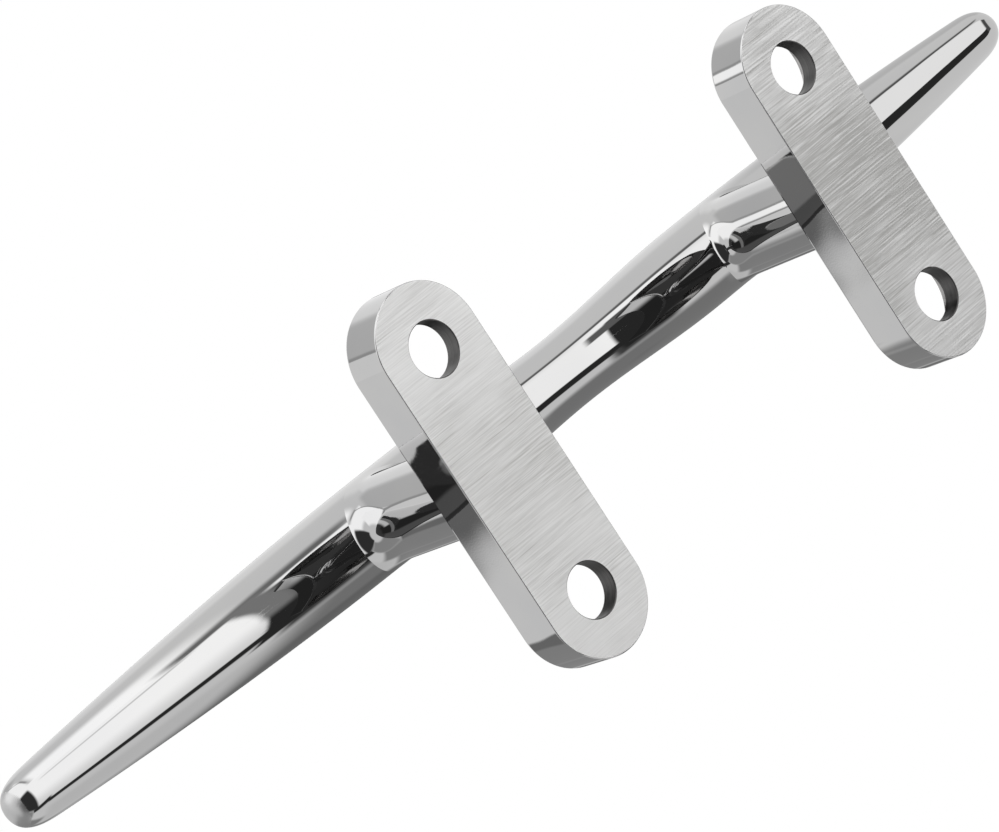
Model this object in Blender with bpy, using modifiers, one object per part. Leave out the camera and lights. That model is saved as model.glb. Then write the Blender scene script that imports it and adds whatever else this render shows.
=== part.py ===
"""A 254 mm stainless steel horn cleat: one tapered horn bar on two round legs, each leg on its own foot plate.

The frame has its origin on the deck, under the middle of the cleat. X runs along the horn bar, Y along the
foot plates and Z up from the deck. Lengths are metres.
"""

from math import cos, pi, radians, sin, sqrt

import bmesh
import bpy

MM = 0.001

# The seam between two welded pieces.
SEAM = 0.3 * MM

# Horn bar: a round bar, thickest over the legs, waisted between them and drawn out to blunt round tips. A tip's
# outline is a superellipse: 2 would be an ellipse, and more is squarer.
BAR_LENGTH = 253.4 * MM
BAR_AXIS_HEIGHT = 38.2 * MM
BAR_TIP_RISE = 4.0 * MM
BAR_WAIST_RADIUS = 6.35 * MM
BAR_WAIST_REACH = 36.0 * MM
BAR_LEG_RADIUS = 7.75 * MM
BAR_TIP_RADIUS = 4.63 * MM
BAR_TIP_LENGTH = 7.2 * MM
BAR_TIP_SQUARENESS = 3.0
BAR_TAPER_POWER = 1.8
BAR_STATIONS = 24
BAR_TIP_STATIONS = 8
BAR_BEVEL_RESOLUTION = 10

# Foot plates: full-round ends, and two holes each for M8 flat-head screws. From the sole up, a hole is a bore,
# a 90 degree countersink and a straight recess.
FOOT_SPACING = 90.4 * MM
FOOT_LENGTH = 66.0 * MM
FOOT_WIDTH = 19.8 * MM
FOOT_THICKNESS = 8.6 * MM
FOOT_TOP_ROUND = 0.6 * MM
FOOT_SOLE_CHAMFER = 0.3 * MM
FOOT_ARC_STEPS = 20
HOLE_SPACING = 44.2 * MM
HOLE_DIAMETER = 9.0 * MM
BORE_DEPTH = 3.2 * MM
SINK_DIAMETER = 17.4 * MM

# Legs: round posts with a spigot in the foot, a small flare above it and a fillet under the bar.
LEG_RADIUS = 7.3 * MM
LEG_FOOT_FILLET = 1.6 * MM
LEG_OUTER_FILLET = 5.2 * MM
LEG_INNER_FILLET = 4.0 * MM
LEG_FEATHER = 0.4 * MM
LEG_TOP_BELOW_AXIS = 1.0 * MM
LEG_RING_SIDES = 36
LEG_FLARE_RINGS = 3
LEG_SADDLE_RINGS = 9
SPIGOT_RADIUS = 5.0 * MM
SPIGOT_DEPTH = 2.6 * MM
SOCKET_DEPTH = SPIGOT_DEPTH + SEAM

ROUND_SIDES = 40
OVERCUT = 1.0 * MM
SMOOTH_ANGLE = radians(30)
POLISHED_STEEL = (0.72, 0.73, 0.74)
BRUSHED_STEEL = (0.60, 0.60, 0.59)

HALF_LENGTH = BAR_LENGTH / 2
LEG_X = FOOT_SPACING / 2


def clear_scene():
    for thing in list(bpy.data.objects):
        bpy.data.objects.remove(thing, do_unlink=True)


def new_collection(name, hidden=False):
    collection = bpy.data.collections.new(name)
    collection.hide_render = hidden
    bpy.context.scene.collection.children.link(collection)
    return collection


def steel(name, colour, roughness):
    material = bpy.data.materials.new(name)
    material.use_nodes = True
    shader = material.node_tree.nodes["Principled BSDF"]
    shader.inputs["Base Color"].default_value = (*colour, 1.0)
    shader.inputs["Metallic"].default_value = 1.0
    shader.inputs["Roughness"].default_value = roughness
    return material


def add_object(name, mesh, collection, x=0.0):
    thing = bpy.data.objects.new(name, mesh)
    thing.location.x = x
    collection.objects.link(thing)
    return thing


def finish_part(thing, material):
    thing.data.materials.clear()
    thing.data.materials.append(material)
    thing.data.shade_smooth()
    thing.data.set_sharp_from_angle(angle=SMOOTH_ANGLE)


def mesh_from_curve(name, curve):
    """The curve's evaluated mesh, with its loose caps welded on."""
    holder = bpy.data.objects.new(name + "_curve", curve)
    bpy.context.scene.collection.objects.link(holder)
    evaluated = holder.evaluated_get(bpy.context.evaluated_depsgraph_get())
    mesh = bpy.data.meshes.new_from_object(evaluated)
    mesh.name = name
    bpy.data.objects.remove(holder)
    bpy.data.curves.remove(curve)
    shape = bmesh.new()
    shape.from_mesh(mesh)
    bmesh.ops.remove_doubles(shape, verts=shape.verts, dist=0.001 * MM)
    bmesh.ops.recalc_face_normals(shape, faces=shape.faces)
    shape.to_mesh(mesh)
    shape.free()
    return mesh


def add_difference(thing, cutter):
    cut = thing.modifiers.new("cut_" + cutter.name, "BOOLEAN")
    cut.operation = "DIFFERENCE"
    cut.solver = "EXACT"
    cut.object = cutter


def add_cutter(name, mesh, collection, x=0.0):
    cutter = add_object(name, mesh, collection, x)
    cutter.hide_render = True
    cutter.display_type = "WIRE"
    return cutter


# ---------------------------------------------------------------- horn bar

def bar_height(x):
    """Height of the bar's axis, which climbs gently towards both tips."""
    return BAR_AXIS_HEIGHT + BAR_TIP_RISE * (x / HALF_LENGTH) ** 2


def bar_radius(x):
    """Radius of the bar without its round tips: a waist between the legs and a long taper beyond them."""
    if abs(x) < LEG_X:
        swell = (1 - cos(pi * min(abs(x) / BAR_WAIST_REACH, 1.0))) / 2
        return BAR_WAIST_RADIUS + (BAR_LEG_RADIUS - BAR_WAIST_RADIUS) * swell
    taper = (abs(x) - LEG_X) / (HALF_LENGTH - BAR_TIP_LENGTH - LEG_X)
    return BAR_LEG_RADIUS - (BAR_LEG_RADIUS - BAR_TIP_RADIUS) * taper ** BAR_TAPER_POWER


def bar_stations(extra):
    """Points along half the bar, from the middle to a tip, as (x, radius) with extra metal all round."""
    tip_start = HALF_LENGTH - BAR_TIP_LENGTH
    bend = 2 / BAR_TIP_SQUARENESS
    stations = []
    for i in range(BAR_STATIONS):
        x = tip_start * i / BAR_STATIONS
        stations.append((x, bar_radius(x) + extra))
    for i in range(BAR_TIP_STATIONS):
        turn = pi / 2 * i / BAR_TIP_STATIONS
        x = tip_start + (BAR_TIP_LENGTH + extra) * sin(turn) ** bend
        radius = (bar_radius(x) + extra) * cos(turn) ** bend
        stations.append((x, radius))
    stations.append((HALF_LENGTH + extra, radius / 3))
    return stations


def bar_mesh(name, extra=0.0):
    half = bar_stations(extra)
    stations = [(-x, radius) for x, radius in reversed(half[1:])] + half
    curve = bpy.data.curves.new(name, "CURVE")
    curve.dimensions = "3D"
    curve.bevel_depth = BAR_LEG_RADIUS
    curve.bevel_resolution = BAR_BEVEL_RESOLUTION
    curve.use_fill_caps = True
    spline = curve.splines.new("POLY")
    spline.points.add(len(stations) - 1)
    for point, (x, radius) in zip(spline.points, stations):
        point.co = (x, 0.0, bar_height(x), 1.0)
        point.radius = radius / BAR_LEG_RADIUS
    return mesh_from_curve(name, curve)


# ---------------------------------------------------------------- foot plates

def foot_outline():
    """Corner points of the plate's outline: two half circles joined by straight sides."""
    end_radius = FOOT_WIDTH / 2
    end_centre = FOOT_LENGTH / 2 - end_radius
    points = []
    for side, start in ((1, 0.0), (-1, pi)):
        for i in range(FOOT_ARC_STEPS + 1):
            turn = start + pi * i / FOOT_ARC_STEPS
            points.append((end_radius * cos(turn), side * end_centre + end_radius * sin(turn)))
    return points


def foot_blank():
    curve = bpy.data.curves.new("foot_blank", "CURVE")
    curve.dimensions = "2D"
    curve.fill_mode = "BOTH"
    curve.extrude = FOOT_THICKNESS / 2
    outline = foot_outline()
    spline = curve.splines.new("POLY")
    spline.points.add(len(outline) - 1)
    for point, (x, y) in zip(spline.points, outline):
        point.co = (x, y, 0.0, 1.0)
    spline.use_cyclic_u = True
    mesh = mesh_from_curve("foot_blank", curve)
    shape = bmesh.new()
    shape.from_mesh(mesh)
    bmesh.ops.translate(shape, verts=shape.verts, vec=(0, 0, FOOT_THICKNESS / 2))
    flat = radians(1)
    bmesh.ops.dissolve_limit(shape, angle_limit=flat, verts=shape.verts, edges=shape.edges)
    for height, width, steps in ((FOOT_THICKNESS, FOOT_TOP_ROUND, 3), (0.0, FOOT_SOLE_CHAMFER, 1)):
        rim = [e for e in shape.edges if all(abs(v.co.z - height) < SEAM / 10 for v in e.verts)]
        bmesh.ops.bevel(
            shape, geom=rim, offset=width, offset_type="OFFSET", segments=steps, profile=0.5, affect="EDGES"
        )
    shape.to_mesh(mesh)
    shape.free()
    return mesh


def add_turned_cutter(name, profile, x, y, collection):
    """A cutter turned about a vertical line through (x, y), from a top-to-bottom list of (radius, z)."""
    mesh = bpy.data.meshes.new(name)
    points = [(0.0, profile[0][1])] + profile + [(0.0, profile[-1][1])]
    edges = [(i, i + 1) for i in range(len(points) - 1)]
    mesh.from_pydata([(radius, 0.0, z) for radius, z in points], edges, [])
    cutter = add_object(name, mesh, collection, x)
    cutter.location.y = y
    cutter.hide_render = True
    cutter.display_type = "WIRE"
    turn = cutter.modifiers.new("turn", "SCREW")
    turn.axis = "Z"
    turn.steps = turn.render_steps = ROUND_SIDES
    turn.use_merge_vertices = True
    turn.merge_threshold = 0.01 * MM
    return cutter


def add_foot(name, x, collection, cutters, material):
    foot = add_object(name, foot_blank(), collection, x)
    finish_part(foot, material)
    over_top = FOOT_THICKNESS + OVERCUT
    bore, sink = HOLE_DIAMETER / 2, SINK_DIAMETER / 2
    hole = [(sink, over_top), (sink, BORE_DEPTH + sink - bore), (bore, BORE_DEPTH), (bore, -OVERCUT)]
    socket_radius = SPIGOT_RADIUS + SEAM
    socket = [(socket_radius, over_top), (socket_radius, FOOT_THICKNESS - SOCKET_DEPTH)]
    add_difference(foot, add_turned_cutter(name + "_socket", socket, x, 0.0, cutters))
    for end, side in (("front", -1), ("back", 1)):
        y = side * HOLE_SPACING / 2
        add_difference(foot, add_turned_cutter(f"{name}_{end}_hole", hole, x, y, cutters))


# ---------------------------------------------------------------- legs

def fillet(distance, radius):
    """How far a quarter-round fillet stands out at this distance from the face that it runs into."""
    if distance >= radius:
        return 0.0
    rest = radius - max(distance, 0.0)
    return radius - sqrt(radius * radius - rest * rest)


def underside(x, y):
    """Height of the bar's lower surface at a point in plan."""
    radius = bar_radius(x)
    return bar_height(x) - sqrt(max(radius * radius - y * y, 0.0))


def leg_ring(height, outward):
    """One level of a leg: round, with the foot's flare all round and the bar's fillet fore and aft."""
    ring = []
    flare = fillet(height - FOOT_THICKNESS - SEAM, LEG_FOOT_FILLET)
    for i in range(LEG_RING_SIDES):
        turn = 2 * pi * i / LEG_RING_SIDES
        along, across = cos(turn), sin(turn)
        room = underside(outward * LEG_X + LEG_RADIUS * along, LEG_RADIUS * across) - height + LEG_FEATHER
        under_bar = fillet(room, LEG_OUTER_FILLET if along * outward > 0 else LEG_INNER_FILLET)
        reach = LEG_RADIUS + flare + under_bar * along * along
        ring.append((reach * along, reach * across, height))
    return ring


def leg_levels():
    """Heights of a leg's rings: close together in the foot's flare and under the bar."""
    bottom = FOOT_THICKNESS + SEAM
    flare_top = bottom + LEG_FOOT_FILLET
    saddle_start = underside(LEG_X, 0.0) - LEG_OUTER_FILLET
    top = bar_height(LEG_X) - LEG_TOP_BELOW_AXIS
    levels = [bottom + LEG_FOOT_FILLET * (i / LEG_FLARE_RINGS) ** 2 for i in range(LEG_FLARE_RINGS)]
    levels.append(flare_top)
    levels += [saddle_start + (top - saddle_start) * i / LEG_SADDLE_RINGS for i in range(LEG_SADDLE_RINGS + 1)]
    return levels


def leg_mesh(name, outward):
    """A loft through the leg's rings, from the spigot's end face up into the bar."""
    bottom = FOOT_THICKNESS + SEAM
    spigot = []
    for height in (FOOT_THICKNESS - SPIGOT_DEPTH + SEAM, bottom):
        turns = [2 * pi * i / LEG_RING_SIDES for i in range(LEG_RING_SIDES)]
        spigot.append([(SPIGOT_RADIUS * cos(t), SPIGOT_RADIUS * sin(t), height) for t in turns])
    shape = bmesh.new()
    rings = []
    for points in spigot + [leg_ring(height, outward) for height in leg_levels()]:
        rings.append([shape.verts.new(point) for point in points])
    for lower, upper in zip(rings, rings[1:]):
        for i in range(LEG_RING_SIDES):
            j = (i + 1) % LEG_RING_SIDES
            shape.faces.new((lower[i], lower[j], upper[j], upper[i]))
    shape.faces.new(reversed(rings[0]))
    shape.faces.new(rings[-1])
    mesh = bpy.data.meshes.new(name)
    shape.to_mesh(mesh)
    shape.free()
    return mesh


def main():
    clear_scene()
    parts = new_collection("horn_cleat")
    cutters = new_collection("cutters", hidden=True)
    bar = add_object("horn_bar", bar_mesh("horn_bar"), parts)
    finish_part(bar, steel("horn_bar_steel", POLISHED_STEEL, 0.08))
    bar_with_seam = add_cutter("bar_with_seam", bar_mesh("bar_with_seam", SEAM), cutters)
    for side, outward in (("left", -1), ("right", 1)):
        x = outward * LEG_X
        leg = add_object(side + "_leg", leg_mesh(side + "_leg", outward), parts, x)
        finish_part(leg, steel(side + "_leg_steel", POLISHED_STEEL, 0.10))
        add_difference(leg, bar_with_seam)
        add_foot(side + "_foot", x, parts, cutters, steel(side + "_foot_steel", BRUSHED_STEEL, 0.30))


main()
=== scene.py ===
"""Looks of the horn cleat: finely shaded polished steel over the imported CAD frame, in a white studio."""

from math import atan, cos, hypot, pi, radians, sin

import bmesh
import bpy
from mathutils import Matrix, Vector


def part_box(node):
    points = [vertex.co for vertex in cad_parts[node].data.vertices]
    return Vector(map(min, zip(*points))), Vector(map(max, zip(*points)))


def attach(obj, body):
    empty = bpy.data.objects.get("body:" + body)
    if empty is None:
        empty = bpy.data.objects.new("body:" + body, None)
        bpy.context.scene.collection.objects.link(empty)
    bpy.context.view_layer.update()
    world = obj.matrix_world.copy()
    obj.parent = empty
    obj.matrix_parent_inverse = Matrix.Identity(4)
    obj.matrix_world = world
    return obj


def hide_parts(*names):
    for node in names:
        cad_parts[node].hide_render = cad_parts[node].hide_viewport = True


MM = 0.001


# ---------------------------------------------------------------- frame

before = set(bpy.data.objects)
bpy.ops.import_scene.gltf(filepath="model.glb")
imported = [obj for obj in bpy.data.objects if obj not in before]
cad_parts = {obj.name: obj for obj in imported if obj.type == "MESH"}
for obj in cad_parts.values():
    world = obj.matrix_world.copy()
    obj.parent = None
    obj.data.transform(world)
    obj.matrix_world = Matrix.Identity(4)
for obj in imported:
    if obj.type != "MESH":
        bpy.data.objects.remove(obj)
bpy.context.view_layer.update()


def box(node):
    """Low and high corner of a CAD node at rest."""
    low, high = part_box(node)
    return Vector(low), Vector(high)


foot_low, foot_high = box("right_foot")
bar_low, bar_high = box("horn_bar")

# Sizes read from the CAD solids.
LEG_X = (foot_low.x + foot_high.x) / 2
FOOT_WIDTH = foot_high.x - foot_low.x
FOOT_LENGTH = foot_high.y - foot_low.y
FOOT_THICKNESS = foot_high.z - foot_low.z
BAR_LEG_RADIUS = (bar_high.y - bar_low.y) / 2

# The round tips end this much inside the CAD's faceted ones.
TIP_CLEARANCE = 0.005 * MM

# Sizes that the boxes don't show, as in the CAD.
HALF_LENGTH = 126.7 * MM - TIP_CLEARANCE
BAR_AXIS_HEIGHT = 38.2 * MM
BAR_TIP_RISE = 4.0 * MM - TIP_CLEARANCE
BAR_WAIST_RADIUS = 6.35 * MM
BAR_WAIST_REACH = 36.0 * MM
BAR_TIP_RADIUS = 4.63 * MM
BAR_TIP_LENGTH = 7.2 * MM
BAR_TIP_SQUARENESS = 3.0
BAR_TAPER_POWER = 1.8
HOLE_SPACING = 44.2 * MM
HOLE_DIAMETER = 9.0 * MM
BORE_DEPTH = 3.2 * MM
SINK_DIAMETER = 17.4 * MM
FOOT_TOP_ROUND = 0.6 * MM
LEG_RADIUS = 7.3 * MM
LEG_FOOT_FILLET = 1.6 * MM
LEG_OUTER_FILLET = 5.2 * MM
LEG_INNER_FILLET = 4.0 * MM

# The legs melt into the bar over this many fillet radii, evenly enough for a mirror finish.
BLEND_PER_FILLET = 1.75
# Towards the sides, where the leg is as wide as the bar, this share of that.
BLEND_ASIDE = 0.12
# The blend runs on under the bar's surface to this depth, which leaves a shallow dressed crease.
CREASE_DEPTH = 0.5 * MM
# Towards the sides, this share of that.
CREASE_ASIDE = 0.06
# The blend is drawn this far past the points where a rolling ball would touch the leg and the bar.
BLEND_OVERRUN = radians(24)

# Edges rounded more finely than the CAD's chamfers, and how deep a leg's foot end is buried.
FOOT_SOLE_ROUND = 0.22 * MM
HOLE_EDGE_BREAK = 0.15 * MM
BURIED = 0.4 * MM

# How finely the surfaces are drawn.
BAR_STATIONS = 150
BAR_TIP_STATIONS = 28
TIP_CLOSING_SHARES = (0.6, 0.3, 0.05)
BAR_SIDES = 128
LEG_SIDES = 144
LEG_ARC_STEPS = 16
BLEND_STEPS = 34
LEG_STRAIGHT_STEPS = 8
FOOT_ARC_STEPS = 64
HOLE_SIDES = 128
EDGE_STEPS = 6

# How finely the blend is searched for.
CENTRE_HALVINGS = 40
TOUCH_STEPS = 180
BLEND_STEP_SHARE = 1 / 12
BLEND_HALVINGS = 30

# How the feet are cut, sorted into finishes and shaded.
HOLE_OVERCUT = 1.0 * MM
FACE_TOLERANCE = 0.1 * MM
FLAT_NORMAL = 0.95
SHARP_FOOT_EDGE = radians(32)


# ---------------------------------------------------------------- mesh helpers

def new_piece(name, shape, materials):
    mesh = bpy.data.meshes.new(name)
    shape.to_mesh(mesh)
    shape.free()
    for material in materials:
        mesh.materials.append(material)
    mesh.shade_smooth()
    piece = bpy.data.objects.new(name, mesh)
    bpy.context.scene.collection.objects.link(piece)
    return piece


def skin_rings(shape, rings):
    """Quads between rings of points that have equal counts, with both end rings capped."""
    loops = [[shape.verts.new(point) for point in ring] for ring in rings]
    for lower, upper in zip(loops, loops[1:]):
        for i in range(len(lower)):
            j = (i + 1) % len(lower)
            shape.faces.new((lower[i], lower[j], upper[j], upper[i]))
    shape.faces.new(reversed(loops[0]))
    shape.faces.new(loops[-1])


def lathe(profile, sides, x=0.0, y=0.0):
    """A closed turned mesh about the vertical line through (x, y), from (radius, z) bottom to top."""
    shape = bmesh.new()
    turns = [2 * pi * i / sides for i in range(sides)]
    skin_rings(shape, [[(x + r * cos(t), y + r * sin(t), z) for t in turns] for r, z in profile])
    return shape


# ---------------------------------------------------------------- horn bar

def bar_height(x):
    """Height of the bar's axis, which climbs gently towards both tips."""
    return BAR_AXIS_HEIGHT + BAR_TIP_RISE * (x / HALF_LENGTH) ** 2


def bar_slope(x):
    return 2 * BAR_TIP_RISE * x / HALF_LENGTH**2


def bar_radius(x):
    """Radius of the bar without its blunt tips."""
    if abs(x) < LEG_X:
        swell = (1 - cos(pi * min(abs(x) / BAR_WAIST_REACH, 1.0))) / 2
        return BAR_WAIST_RADIUS + (BAR_LEG_RADIUS - BAR_WAIST_RADIUS) * swell
    taper = (abs(x) - LEG_X) / (HALF_LENGTH - BAR_TIP_LENGTH - LEG_X)
    return BAR_LEG_RADIUS - (BAR_LEG_RADIUS - BAR_TIP_RADIUS) * taper**BAR_TAPER_POWER


def bar_stations():
    """(x, radius) along the bar from tip to tip. The tips' outline is a superellipse."""
    tip_start = HALF_LENGTH - BAR_TIP_LENGTH
    bend = 2 / BAR_TIP_SQUARENESS
    half = []
    for i in range(BAR_STATIONS):
        x = tip_start * i / BAR_STATIONS
        half.append((x, bar_radius(x)))
    for i in range(BAR_TIP_STATIONS):
        turn = pi / 2 * i / BAR_TIP_STATIONS
        x = tip_start + BAR_TIP_LENGTH * sin(turn) ** bend
        half.append((x, bar_radius(x) * cos(turn) ** bend))
    for share in TIP_CLOSING_SHARES:
        radius = share * half[-1][1]
        depth = 1 - (1 - (radius / BAR_TIP_RADIUS) ** BAR_TIP_SQUARENESS) ** (1 / BAR_TIP_SQUARENESS)
        half.append((HALF_LENGTH - BAR_TIP_LENGTH * depth, radius))
    return [(-x, radius) for x, radius in reversed(half[1:])] + half


def make_bar(material):
    rings = []
    for x, radius in bar_stations():
        lean = atan(bar_slope(x))
        ring = []
        for i in range(BAR_SIDES):
            turn = 2 * pi * i / BAR_SIDES
            up = radius * sin(turn)
            ring.append((x - up * sin(lean), radius * cos(turn), bar_height(x) + up * cos(lean)))
        rings.append(ring)
    shape = bmesh.new()
    skin_rings(shape, rings)
    bmesh.ops.recalc_face_normals(shape, faces=shape.faces)
    return new_piece("polished_horn_bar", shape, [material])


# ---------------------------------------------------------------- legs

def gap_to_core(x, y, z, depth):
    """Distance from a point to the bar's core, which lies at a depth under its surface."""
    lean = atan(bar_slope(x))
    return hypot(y, (z - bar_height(x)) * cos(lean)) - bar_radius(x) + depth


def fillet_centre(gap_at, outer_x, fillet):
    """Height of the centre of a ball that touches both the leg's side and the bar's core."""
    reach = LEG_RADIUS + fillet
    high = bar_height(outer_x)
    low = FOOT_THICKNESS
    for _ in range(CENTRE_HALVINGS):
        middle = (low + high) / 2
        if gap_at(reach, middle) > fillet:
            low = middle
        else:
            high = middle
    return low


def touch_angle(gap_at, reach, centre, fillet):
    """How far up from the leg's side the ball's touching point with the bar's core lies."""
    best, best_gap = 0.0, 1.0
    for i in range(TOUCH_STEPS + 1):
        bend = pi / 2 * i / TOUCH_STEPS
        gap = gap_at(reach - fillet * cos(bend), centre + fillet * sin(bend))
        if gap < best_gap:
            best, best_gap = bend, gap
    return best


def blend_point(gap_at, blend, reach, centre, bend):
    """Where a line from the ball's centre meets the smooth union of the leg's side and the bar's core."""
    def depth(distance):
        r, z = reach - distance * cos(bend), centre + distance * sin(bend)
        side, core_gap = r - LEG_RADIUS, gap_at(r, z)
        overlap = max(blend - abs(side - core_gap), 0.0) / blend
        return min(side, core_gap) - blend * overlap**3 / 6

    step = blend * BLEND_STEP_SHARE
    far = 0.0
    while depth(far) > 0:
        far += step
    near = far - step
    for _ in range(BLEND_HALVINGS):
        middle = (near + far) / 2
        if depth(middle) > 0:
            near = middle
        else:
            far = middle
    return reach - far * cos(bend), centre + far * sin(bend)


def leg_profile(outward, turn):
    """(reach from the leg's axis, z) up a leg's side: foot flare, straight side, blend into the bar."""
    along, across = cos(turn), sin(turn)
    crease = CREASE_DEPTH * (CREASE_ASIDE + (1 - CREASE_ASIDE) * along * along)

    def gap_at(reach, z):
        return gap_to_core(outward * LEG_X + reach * along, reach * across, z, crease)

    share = (1 + along * outward) / 2
    fillet = LEG_INNER_FILLET + (LEG_OUTER_FILLET - LEG_INNER_FILLET) * share
    blend = BLEND_PER_FILLET * fillet * (BLEND_ASIDE + (1 - BLEND_ASIDE) * along * along)
    reach = LEG_RADIUS + fillet
    centre = fillet_centre(gap_at, outward * LEG_X + reach * along, fillet)
    points = [(LEG_RADIUS + LEG_FOOT_FILLET, FOOT_THICKNESS - BURIED)]
    for i in range(LEG_ARC_STEPS + 1):
        bend = pi / 2 * i / LEG_ARC_STEPS
        points.append((
            LEG_RADIUS + LEG_FOOT_FILLET * (1 - sin(bend)),
            FOOT_THICKNESS + LEG_FOOT_FILLET * (1 - cos(bend)),
        ))
    start = -BLEND_OVERRUN
    end = touch_angle(gap_at, reach, centre, fillet) + BLEND_OVERRUN
    rising = []
    for i in range(BLEND_STEPS + 1):
        bend = start + (end - start) * i / BLEND_STEPS
        rising.append(blend_point(gap_at, blend, reach, centre, bend))
    bottom = FOOT_THICKNESS + LEG_FOOT_FILLET
    straight = rising[0][1] - bottom
    for i in range(1, LEG_STRAIGHT_STEPS):
        points.append((LEG_RADIUS, bottom + straight * i / LEG_STRAIGHT_STEPS))
    return points + rising


def make_leg(name, outward, material):
    sides = [2 * pi * i / LEG_SIDES for i in range(LEG_SIDES)]
    profiles = [leg_profile(outward, turn) for turn in sides]
    rings = []
    for level in range(len(profiles[0])):
        ring = []
        for turn, profile in zip(sides, profiles):
            reach, z = profile[level]
            ring.append((outward * LEG_X + reach * cos(turn), reach * sin(turn), z))
        rings.append(ring)
    shape = bmesh.new()
    skin_rings(shape, rings)
    return new_piece(name, shape, [material])


# ---------------------------------------------------------------- feet

def foot_ring(inset, z):
    """The foot's outline, moved in by an inset."""
    radius = FOOT_WIDTH / 2 - inset
    centre = FOOT_LENGTH / 2 - FOOT_WIDTH / 2
    ring = []
    for side in (1, -1):
        for i in range(FOOT_ARC_STEPS + 1):
            turn = pi * i / FOOT_ARC_STEPS
            ring.append((side * radius * cos(turn), side * (centre + radius * sin(turn)), z))
    return ring


def foot_rim():
    """(inset, z) up the foot's edge: a fine rounding at the sole and a fuller one at the top."""
    rim = []
    for i in range(EDGE_STEPS + 1):
        turn = pi / 2 * i / EDGE_STEPS
        rim.append((FOOT_SOLE_ROUND * (1 - sin(turn)), FOOT_SOLE_ROUND * (1 - cos(turn))))
    for i in range(EDGE_STEPS + 1):
        turn = pi / 2 * i / EDGE_STEPS
        rim.append((FOOT_TOP_ROUND * (1 - cos(turn)), FOOT_THICKNESS - FOOT_TOP_ROUND * (1 - sin(turn))))
    return rim


def screw_hole_profile():
    """(radius, z) up a screw hole: a broken edge at the sole, the bore, the countersink and the recess."""
    bore = HOLE_DIAMETER / 2
    sink = SINK_DIAMETER / 2
    return [
        (bore + HOLE_EDGE_BREAK + HOLE_OVERCUT, -HOLE_OVERCUT),
        (bore, HOLE_EDGE_BREAK),
        (bore, BORE_DEPTH),
        (sink, BORE_DEPTH + sink - bore),
        (sink, FOOT_THICKNESS + HOLE_OVERCUT),
    ]


def make_foot(name, x, materials):
    shape = bmesh.new()
    rings = [[(x + px, py, pz) for px, py, pz in foot_ring(inset, z)] for inset, z in foot_rim()]
    skin_rings(shape, rings)
    foot = new_piece(name, shape, materials)
    cutters = []
    for side in (-1, 1):
        hole = lathe(screw_hole_profile(), HOLE_SIDES, x, side * HOLE_SPACING / 2)
        cutter = new_piece(f"{name}_cutter", hole, [])
        cut = foot.modifiers.new("screw_hole", "BOOLEAN")
        cut.operation = "DIFFERENCE"
        cut.solver = "EXACT"
        cut.object = cutter
        cutters.append(cutter)
    evaluated = foot.evaluated_get(bpy.context.evaluated_depsgraph_get())
    mesh = bpy.data.meshes.new_from_object(evaluated)
    foot.modifiers.clear()
    foot.data = mesh
    for cutter in cutters:
        bpy.data.objects.remove(cutter)
    sort_foot_faces(mesh, x)
    mesh.shade_smooth()
    mesh.set_sharp_from_angle(angle=SHARP_FOOT_EDGE)
    weigh = foot.modifiers.new("flat_faces_stay_flat", "WEIGHTED_NORMAL")
    weigh.keep_sharp = True
    return foot


def sort_foot_faces(mesh, x):
    """Gives each face its finish: 0 polished edge and top, 1 ground sole, 2 drilled bore, 3 countersink."""
    for face in mesh.polygons:
        centre = face.center
        hole = min(hypot(centre.x - x, centre.y - side * HOLE_SPACING / 2) for side in (-1, 1))
        if face.normal.z < -FLAT_NORMAL and centre.z < FACE_TOLERANCE:
            face.material_index = 1
        elif hole < SINK_DIAMETER / 2 + FACE_TOLERANCE and face.normal.z < FLAT_NORMAL:
            face.material_index = 2 if centre.z < BORE_DEPTH else 3
        else:
            face.material_index = 0


# ---------------------------------------------------------------- node helpers

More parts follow.
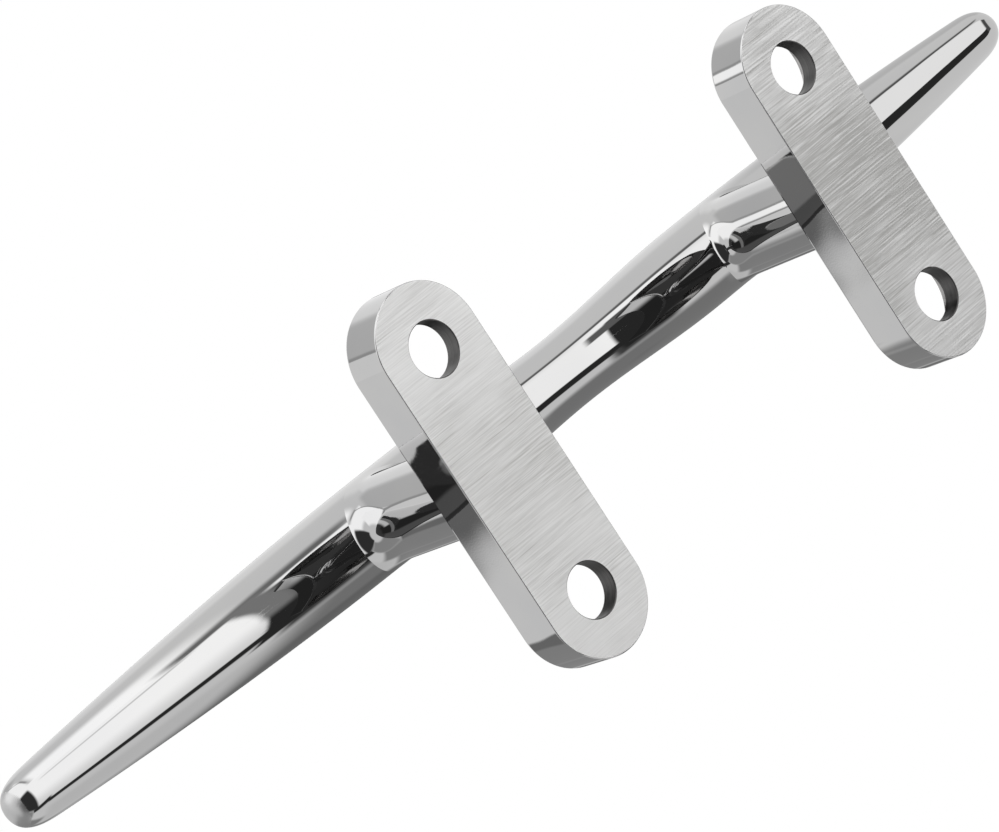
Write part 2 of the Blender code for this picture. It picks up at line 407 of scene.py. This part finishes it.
class NodeSketch:
    """Short calls for wiring nodes."""

    def __init__(self, tree):
        self.tree = tree

    def wire(self, socket, value):
        if hasattr(value, "is_output"):
            self.tree.links.new(value, socket)
        else:
            socket.default_value = value

    def coordinate(self, kind):
        return self.tree.nodes.new("ShaderNodeTexCoord").outputs[kind]

    def part(self, vector, axis):
        """One of a vector's three numbers."""
        split = self.tree.nodes.new("ShaderNodeSeparateXYZ")
        self.wire(split.inputs[0], vector)
        return split.outputs[axis]

    def math(self, operation, *values):
        node = self.tree.nodes.new("ShaderNodeMath")
        node.operation = operation
        for socket, value in zip(node.inputs, values):
            self.wire(socket, value)
        return node.outputs[0]

    def step(self, value, start, end, low=0.0, high=1.0):
        """A smooth change from low to high while the value goes from start to end."""
        node = self.tree.nodes.new("ShaderNodeMapRange")
        node.interpolation_type = "SMOOTHSTEP"
        for socket, number in zip(node.inputs, (value, start, end, low, high)):
            self.wire(socket, number)
        return node.outputs[0]

    def window(self, value, start, end, soft):
        """1 between start and end, 0 outside, with two soft edges."""
        rise = self.step(value, start - soft[0] / 2, start + soft[0] / 2)
        fall = self.step(value, end - soft[1] / 2, end + soft[1] / 2, 1.0, 0.0)
        return self.math("MULTIPLY", rise, fall)

    def blend(self, share, below, above):
        change = self.math("SUBTRACT", above, below)
        return self.math("MULTIPLY_ADD", change, share, below)

    def grain(self, point, lengths, detail=2.0):
        """Noise of 0.25 to 0.75, with the given size of grain along X, Y and Z."""
        squeeze = self.tree.nodes.new("ShaderNodeVectorMath")
        squeeze.operation = "MULTIPLY"
        self.wire(squeeze.inputs[0], point)
        squeeze.inputs[1].default_value = [1 / length for length in lengths]
        noise = self.tree.nodes.new("ShaderNodeTexNoise")
        self.wire(noise.inputs["Vector"], squeeze.outputs[0])
        noise.inputs["Scale"].default_value = 1.0
        noise.inputs["Detail"].default_value = detail
        return noise.outputs["Fac"]

    def tint(self, share, dark, light):
        """A colour from dark to light."""
        mix = self.tree.nodes.new("ShaderNodeMix")
        mix.data_type = "RGBA"
        self.wire(mix.inputs["Factor"], share)
        colours = [socket for socket in mix.inputs if socket.type == "RGBA"]
        for socket, colour in zip(colours, (dark, light)):
            socket.default_value = (*colour, 1.0)
        return next(socket for socket in mix.outputs if socket.type == "RGBA")

    def relief(self, height, depth, below=None):
        """The surface's normal, bent by a height: going from 0 to 1 is a rise of the given depth."""
        bump = self.tree.nodes.new("ShaderNodeBump")
        bump.inputs["Distance"].default_value = depth
        self.wire(bump.inputs["Height"], height)
        if below is not None:
            self.wire(bump.inputs["Normal"], below)
        return bump.outputs["Normal"]


# ---------------------------------------------------------------- materials

def new_metal(name):
    """A metal, with its node sketch, its shader and the point of the surface that textures are read at."""
    material = bpy.data.materials.new(name)
    material.use_nodes = True
    shader = material.node_tree.nodes["Principled BSDF"]
    shader.inputs["Metallic"].default_value = 1.0
    sketch = NodeSketch(material.node_tree)
    return material, sketch, shader, sketch.coordinate("Object")


# How much of the normal points along the bar where a horn's end face begins, and how dull that face is.
END_FACE_TURN = (0.53, 0.62)
END_FACE_DULLNESS = 0.36


def end_face(sketch):
    """1 on the blunt end face of a horn, which is less finely polished, and 0 elsewhere."""
    x = sketch.part(sketch.coordinate("Object"), 0)
    facing = sketch.part(sketch.coordinate("Normal"), 0)
    at_tip = sketch.math("GREATER_THAN", sketch.math("ABSOLUTE", x), HALF_LENGTH - BAR_TIP_LENGTH)
    return sketch.math("MULTIPLY", at_tip, sketch.step(sketch.math("ABSOLUTE", facing), *END_FACE_TURN))


def polished_steel(name):
    """Mirror-polished stainless: faint cloudiness, long hairlines from the mop, gentle unevenness."""
    material, sketch, shader, point = new_metal(name)
    dull_end = end_face(sketch)
    cloud = sketch.grain(point, (45 * MM, 14 * MM, 14 * MM), 3.0)
    haze = sketch.grain(point, (9 * MM, 4 * MM, 4 * MM), 4.0)
    hairlines = sketch.grain(point, (26 * MM, 0.3 * MM, 0.3 * MM))
    swell = sketch.grain(point, (24 * MM, 15 * MM, 15 * MM), 1.0)
    colour = sketch.tint(sketch.step(cloud, 0.3, 0.7), (0.585, 0.585, 0.588), (0.612, 0.61, 0.607))
    dull = sketch.step(haze, 0.5, 0.75, 0.008, 0.04)
    roughness = sketch.math("ADD", dull, sketch.step(hairlines, 0.56, 0.7, 0.0, 0.03))
    roughness = sketch.math("MULTIPLY_ADD", dull_end, END_FACE_DULLNESS, roughness)
    uneven = sketch.relief(swell, 0.1 * MM)
    sketch.wire(shader.inputs["Base Color"], colour)
    sketch.wire(shader.inputs["Roughness"], roughness)
    sketch.wire(shader.inputs["Normal"], sketch.relief(hairlines, 0.0005 * MM, uneven))
    return material


def ground_steel(name, value, scratching, middle_darkening):
    """A sole ground on a belt that ran along the bar: scratches, patches, and a darker middle with stronger
    scratches.
    """
    material, sketch, shader, point = new_metal(name)
    patches = sketch.grain(point, (16 * MM, 12 * MM, 12 * MM), 3.0)
    scratches = sketch.grain(point, (13 * MM, 0.3 * MM, 0.3 * MM), 2.0)
    fine = sketch.grain(point, (4 * MM, 0.12 * MM, 0.12 * MM), 2.0)
    gouges = sketch.grain(point, (16 * MM, 0.4 * MM, 0.4 * MM), 1.0)
    # Darker, and more strongly scratched, towards the middle of the sole's length.
    off_middle = sketch.math("ABSOLUTE", sketch.part(point, 1))
    near_middle = sketch.step(off_middle, 3 * MM, 25 * MM, 1.0, 0.0)
    patchy = sketch.math("MULTIPLY_ADD", near_middle, 0.35, sketch.step(patches, 0.42, 0.68, 0.35, 0.9))
    contrast = sketch.math("MULTIPLY", patchy, scratching)
    broad_stroke = sketch.step(scratches, 0.3, 0.7, -0.4, 0.4)
    fine_stroke = sketch.step(fine, 0.3, 0.7, -0.25, 0.25)
    stroke = sketch.math("ADD", broad_stroke, fine_stroke)
    gouge = sketch.math("MULTIPLY", sketch.step(gouges, 0.64, 0.74), -0.9)
    share = sketch.math("MULTIPLY_ADD", sketch.math("ADD", stroke, gouge), contrast, 0.5)
    share = sketch.math("ADD", share, sketch.step(patches, 0.3, 0.7, 0.06, -0.06))
    share = sketch.math("MULTIPLY_ADD", near_middle, -middle_darkening, share)
    light = [value * 1.3] * 3
    dark = [value * tint for tint in (0.7, 0.695, 0.68)]
    sketch.wire(shader.inputs["Base Color"], sketch.tint(share, dark, light))
    sketch.wire(shader.inputs["Roughness"], sketch.step(scratches, 0.3, 0.7, 0.46, 0.3))
    cut = sketch.relief(scratches, 0.012 * MM * scratching)
    sketch.wire(shader.inputs["Normal"], sketch.relief(gouge, 0.006 * MM * scratching, cut))
    return material


def turned_steel(name, value, roughness):
    """A bore or countersink: fine rings left by the tool, darker where the chips rubbed. The value sets the
    overall tone, which is kept low as painted shade in the hole.
    """
    material, sketch, shader, point = new_metal(name)
    rings = sketch.grain(point, (60 * MM, 60 * MM, 0.11 * MM), 2.0)
    rubbed = sketch.grain(point, (2.2 * MM, 2.2 * MM, 0.9 * MM), 3.0)
    ring_share = sketch.step(rings, 0.3, 0.7, 0.4, 1.0)
    rubbed_share = sketch.step(rubbed, 0.3, 0.7, 0.4, 1.0)
    share = sketch.math("MULTIPLY", ring_share, rubbed_share)
    dark = [value * tint for tint in (0.62, 0.61, 0.61)]
    light = [value * tint for tint in (1.4, 1.38, 1.36)]
    dullness = sketch.step(rubbed, 0.3, 0.7, roughness * 0.8, roughness * 1.25)
    sketch.wire(shader.inputs["Base Color"], sketch.tint(share, dark, light))
    sketch.wire(shader.inputs["Roughness"], dullness)
    sketch.wire(shader.inputs["Normal"], sketch.relief(rings, 0.004 * MM))
    return material


# ---------------------------------------------------------------- object

polished = polished_steel("polished_steel")
# The bore's tone (0.13) lies far below steel's: painted shade in the hole. The countersink's lower tone
# (0.42) is partly its turned finish and partly painted shade.
shaded_bore = turned_steel("drilled_bore_painted_shade", 0.13, 0.4)
partly_shaded_countersink = turned_steel("turned_countersink_part_painted_shade", 0.42, 0.22)
# Both soles share one recipe. The left one's lighter base value (0.86) and the right one's darker value
# (0.69) are painted light and shade, for how the studio light falls on each sole.
soles = {
    "left": ground_steel("ground_left_sole", 0.86, 0.34, 0.2),
    "right": ground_steel("ground_right_sole", 0.69, 0.72, 0.4),
}

bar = make_bar(polished)
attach(bar, "root")
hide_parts("horn_bar")
for side, outward in (("left", -1), ("right", 1)):
    leg = make_leg(f"polished_{side}_leg", outward, polished)
    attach(leg, "root")
    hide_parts(f"{side}_leg")
    finishes = [polished, soles[side], shaded_bore, partly_shaded_countersink]
    foot = make_foot(f"finished_{side}_foot", outward * LEG_X, finishes)
    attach(foot, "root")
    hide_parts(f"{side}_foot")


# ---------------------------------------------------------------- camera

# The camera looks up at the soles from near the left horn. Back points from the object to the camera.
CAMERA_BACK = Vector((-0.573, -0.1416, -0.8072))
CAMERA_PLACE = Vector((-425.5, -102.6, -540.4)) * MM
CAMERA_ROLL_RIGHT = Vector((0.63783, 0.54147, -0.54771))
CAMERA_LENS = 158.9
SENSOR_WIDTH = 36.0


def make_camera():
    back = CAMERA_BACK.normalized()
    right = CAMERA_ROLL_RIGHT.normalized()
    up = back.cross(right).normalized()
    right = up.cross(back)
    camera = bpy.data.cameras.new("camera")
    camera.sensor_width = SENSOR_WIDTH
    camera.lens = CAMERA_LENS
    camera.clip_start = 0.01
    holder = bpy.data.objects.new("camera", camera)
    holder.matrix_world = Matrix.Translation(CAMERA_PLACE) @ Matrix((right, up, back)).transposed().to_4x4()
    bpy.context.scene.collection.objects.link(holder)
    bpy.context.scene.camera = holder


make_camera()


# ---------------------------------------------------------------- studio

FLOOR_DROP = 0.2 * MM
FLOOR_FADE = 600 * MM
FLOOR_REACH = 4000 * MM
FLOOR_SIDES = 96
FLOOR_TONE = 0.96
TENT_LIGHT = 0.82

# Panels in the white tent, in degrees. Around is measured about the bar's direction, X: 0 straight down,
# 90 at +Y and -90 at -Y. Along runs from 0 at +X to 180 at -X. Soft is the width of the two edges, and lean
# is how far around the panel shifts for each degree along, from its middle. A later panel hangs in front.
PANELS = [
    # name, light, (around from, to), soft, (along from, to), soft, lean
    ("far_upper", 0.97, (-178, -125), (4, 20), (50, 68), (6, 10), 0.0),
    ("far_upper_dim", 0.66, (-178, -120), (4, 16), (30, 49), (6, 6), 0.0),
    ("leg_upper", 0.95, (-176, -138), (4, 8), (60, 80), (6, 8), 0.0),
    ("flank_grey", 0.62, (-158, -124), (4, 16), (80, 120), (12, 4), 0.0),
    ("back_side", 0.72, (62, 182), (20, 4), (44, 84), (6, 14), 0.0),
    ("back_shadow", 0.25, (62, 182), (18, 4), (49.5, 64.5), (3, 5), 0.0),
    ("back_core", 0.18, (102, 182), (16, 4), (56.5, 62.5), (2, 2), 0.0),
    ("leg_side", 0.31, (96, 160), (18, 6), (84, 114), (8, 8), 0.0),
    ("leg_side_below", 0.30, (130, 160), (14, 6), (66, 86), (6, 6), 0.0),
    ("leg_under", 0.34, (50, 152), (16, 10), (113, 152), (8, 10), 0.0),
    ("leg_edge", 0.20, (154, 160), (3, 2), (112, 125), (4, 4), 0.8),
    ("wall_shade", 0.17, (168.5, 170.2), (1.5, 0.6), (112, 136), (6, 6), 0.0),
    ("far_softbox", 1.20, (-66, 24), (6, 4), (24, 60), (6, 5), 0.0),
    ("mid_softbox", 1.34, (-52, 24), (14, 4), (46, 60), (8, 5), 0.0),
    ("near_softbox", 1.43, (-60, 32), (4, 4), (56, 115), (5, 5), 0.0),
    ("near_softbox_edge", 1.02, (10, 34), (44, 3), (62, 115), (5, 5), 0.0),
    ("near_glow", 1.5, (-92, -56), (24, 2), (68, 84), (6, 10), 0.0),
    ("side_softbox", 1.42, (-112, -42), (6, 14), (91, 128), (8, 16), 0.0),
    ("side_softbox_cut", 1.42, (-124.5, -90), (4, 4), (92, 118), (6, 1), -2.2),
    ("side_softbox_top", 1.38, (-155, -90), (4, 10), (115.5, 148), (1, 12), 0.0),
    ("side_frame", 0.42, (-128.5, -124.5), (4, 3), (89, 120), (2, 2), -2.2),
    ("side_frame_below", 0.45, (-97, -70), (6, 14), (87, 90.5), (2, 2), 0.0),
    ("leg_front", 0.87, (-182, -157.5), (4, 1), (95, 165), (14, 14), 0.0),
    ("leg_line", 0.40, (-157.5, -155), (1, 2), (108, 132), (4, 14), 0.0),
    ("far_frame", 0.12, (-68.5, -58), (8, 4), (33, 46), (5, 5), 2.5),
    ("mid_frame", 0.16, (-65.5, -58), (6, 3), (46, 60), (5, 2), 0.0),
    ("near_frame", 0.20, (-66, -52), (14, 5), (61, 70.4), (3, 1.5), 0.8),
    ("near_line", 0.86, (-47.5, -43.5), (3, 3), (70, 78), (1.5, 10), 0.2),
    ("far_flag", 0.03, (10, 39), (2, 2), (24, 47), (6, 2), 1.2),
    ("mid_flag", 0.03, (22, 39), (3, 3), (46, 62), (2, 2), 0.4),
    ("near_flag", 0.03, (32, 43), (3, 4), (60, 84), (2, 4), 0.2),
    ("near_tip_flag", 0.03, (37, 51), (5, 6), (81, 112), (4, 4), 0.6),
    ("back_dark", 0.08, (36, 60), (4, 14), (56.5, 65.8), (1.5, 1.5), 0.0),
    ("frame_between", 0.03, (-46, 50), (5, 4), (57.5, 67.5), (0.5, 0.5), 0.0),
    ("between_glow", 0.27, (-60, 6), (8, 16), (65.6, 67.7), (1.2, 0.8), 0.0),
    ("mid_notch", 0.15, (-44, -26), (6, 3), (55.4, 60), (1, 1), 0.0),
    ("camera_side", 0.04, (-44, 48), (12, 14), (100, 158), (6, 8), 0.0),
    ("far_end_line", 0.10, (-66, 26), (5, 5), (20, 27), (3, 3), 0.0),
]

# A reflection of a reflection is dim, except for what a leg, a foot and the bar show of each other.
SECOND_BOUNCE_DEPTH = 2.5
SECOND_BOUNCE_LIGHT = 0.05
SECOND_BOUNCE_GLOW = 0.035
SECOND_BOUNCE_PANELS = [
    ("bar_in_leg", 1.18, (-184, -20), (4, 16), (114, 146), (6, 8), 0.0),
    ("bar_in_near_foot", 0.06, (-360, -41.6), (4, 14), (126.3, 132.9), (1, 0.4), 36.0),
    ("bar_in_far_foot", 0.36, (-112, 70), (20, 20), (133, 137), (0.4, 2), 0.0),
    ("foot_end", 1.18, (-184, -114), (4, 10), (114, 146), (6, 8), 0.0),
    ("leg_shade", 0.16, (52, 118), (14, 8), (114, 150), (6, 8), 0.0),
]


def around_and_along(sketch, direction):
    """A direction as the two angles that the panels are placed by."""
    x, y, z = [sketch.part(direction, axis) for axis in range(3)]
    around = sketch.math("DEGREES", sketch.math("ARCTAN2", y, sketch.math("MULTIPLY", z, -1.0)))
    return around, sketch.math("DEGREES", sketch.math("ARCCOSINE", x))


def hang_panels(sketch, angles, light, panels):
    """The light with the panels painted over it, one after the other."""
    around, along = angles
    for _, level, (start, end), soft, (near, far), along_soft, lean in panels:
        middle = (near + far) / 2
        shift = sketch.math("MULTIPLY_ADD", along, -lean, lean * middle)
        share = sketch.math(
            "MULTIPLY",
            sketch.window(sketch.math("ADD", around, shift), start, end, soft),
            sketch.window(along, near, far, along_soft),
        )
        light = sketch.blend(share, light, level)
    return light


def make_world():
    """A white backdrop for the camera, and the studio's panels for everything that reflects or is lit."""
    world = bpy.data.worlds.new("studio")
    world.use_nodes = True
    tree = world.node_tree
    sketch = NodeSketch(tree)
    angles = around_and_along(sketch, sketch.coordinate("Generated"))
    path = tree.nodes.new("ShaderNodeLightPath").outputs
    light = hang_panels(sketch, angles, TENT_LIGHT, PANELS)
    dim = sketch.math("MULTIPLY_ADD", light, SECOND_BOUNCE_LIGHT, SECOND_BOUNCE_GLOW)
    second_light = hang_panels(sketch, angles, dim, SECOND_BOUNCE_PANELS)
    is_second = sketch.math("GREATER_THAN", path["Ray Depth"], SECOND_BOUNCE_DEPTH)
    light = sketch.blend(is_second, light, second_light)
    light = sketch.blend(path["Is Camera Ray"], light, 1.0)
    tree.links.new(light, tree.nodes["Background"].inputs["Strength"])
    tree.nodes["Background"].inputs["Color"].default_value = (1, 1, 1, 1)
    bpy.context.scene.world = world


def make_floor():
    """A pale floor that fades into the backdrop, without an underside: the camera looks up through it."""
    shape = bmesh.new()
    bmesh.ops.create_circle(shape, cap_ends=True, radius=FLOOR_REACH, segments=FLOOR_SIDES)
    material = bpy.data.materials.new("pale_floor")
    floor = new_piece("floor", shape, [material])
    floor.location.z = -FLOOR_DROP
    material.use_nodes = True
    tree = material.node_tree
    tree.nodes.clear()
    sketch = NodeSketch(tree)
    size = tree.nodes.new("ShaderNodeVectorMath")
    size.operation = "LENGTH"
    sketch.wire(size.inputs[0], sketch.coordinate("Object"))
    far = sketch.step(size.outputs["Value"], FLOOR_FADE, FLOOR_REACH)
    gone = sketch.math("MAXIMUM", far, tree.nodes.new("ShaderNodeNewGeometry").outputs["Backfacing"])
    paper = tree.nodes.new("ShaderNodeBsdfDiffuse")
    paper.inputs["Color"].default_value = (FLOOR_TONE, FLOOR_TONE, FLOOR_TONE, 1.0)
    mix = tree.nodes.new("ShaderNodeMixShader")
    sketch.wire(mix.inputs[0], gone)
    sketch.wire(mix.inputs[1], paper.outputs[0])
    sketch.wire(mix.inputs[2], tree.nodes.new("ShaderNodeBsdfTransparent").outputs[0])
    sketch.wire(tree.nodes.new("ShaderNodeOutputMaterial").inputs["Surface"], mix.outputs[0])
    floor.visible_diffuse = False
    floor.visible_glossy = False
    floor.visible_transmission = False
    floor.visible_shadow = False


make_world()
make_floor()
bpy.context.scene.view_settings.view_transform = "Standard"
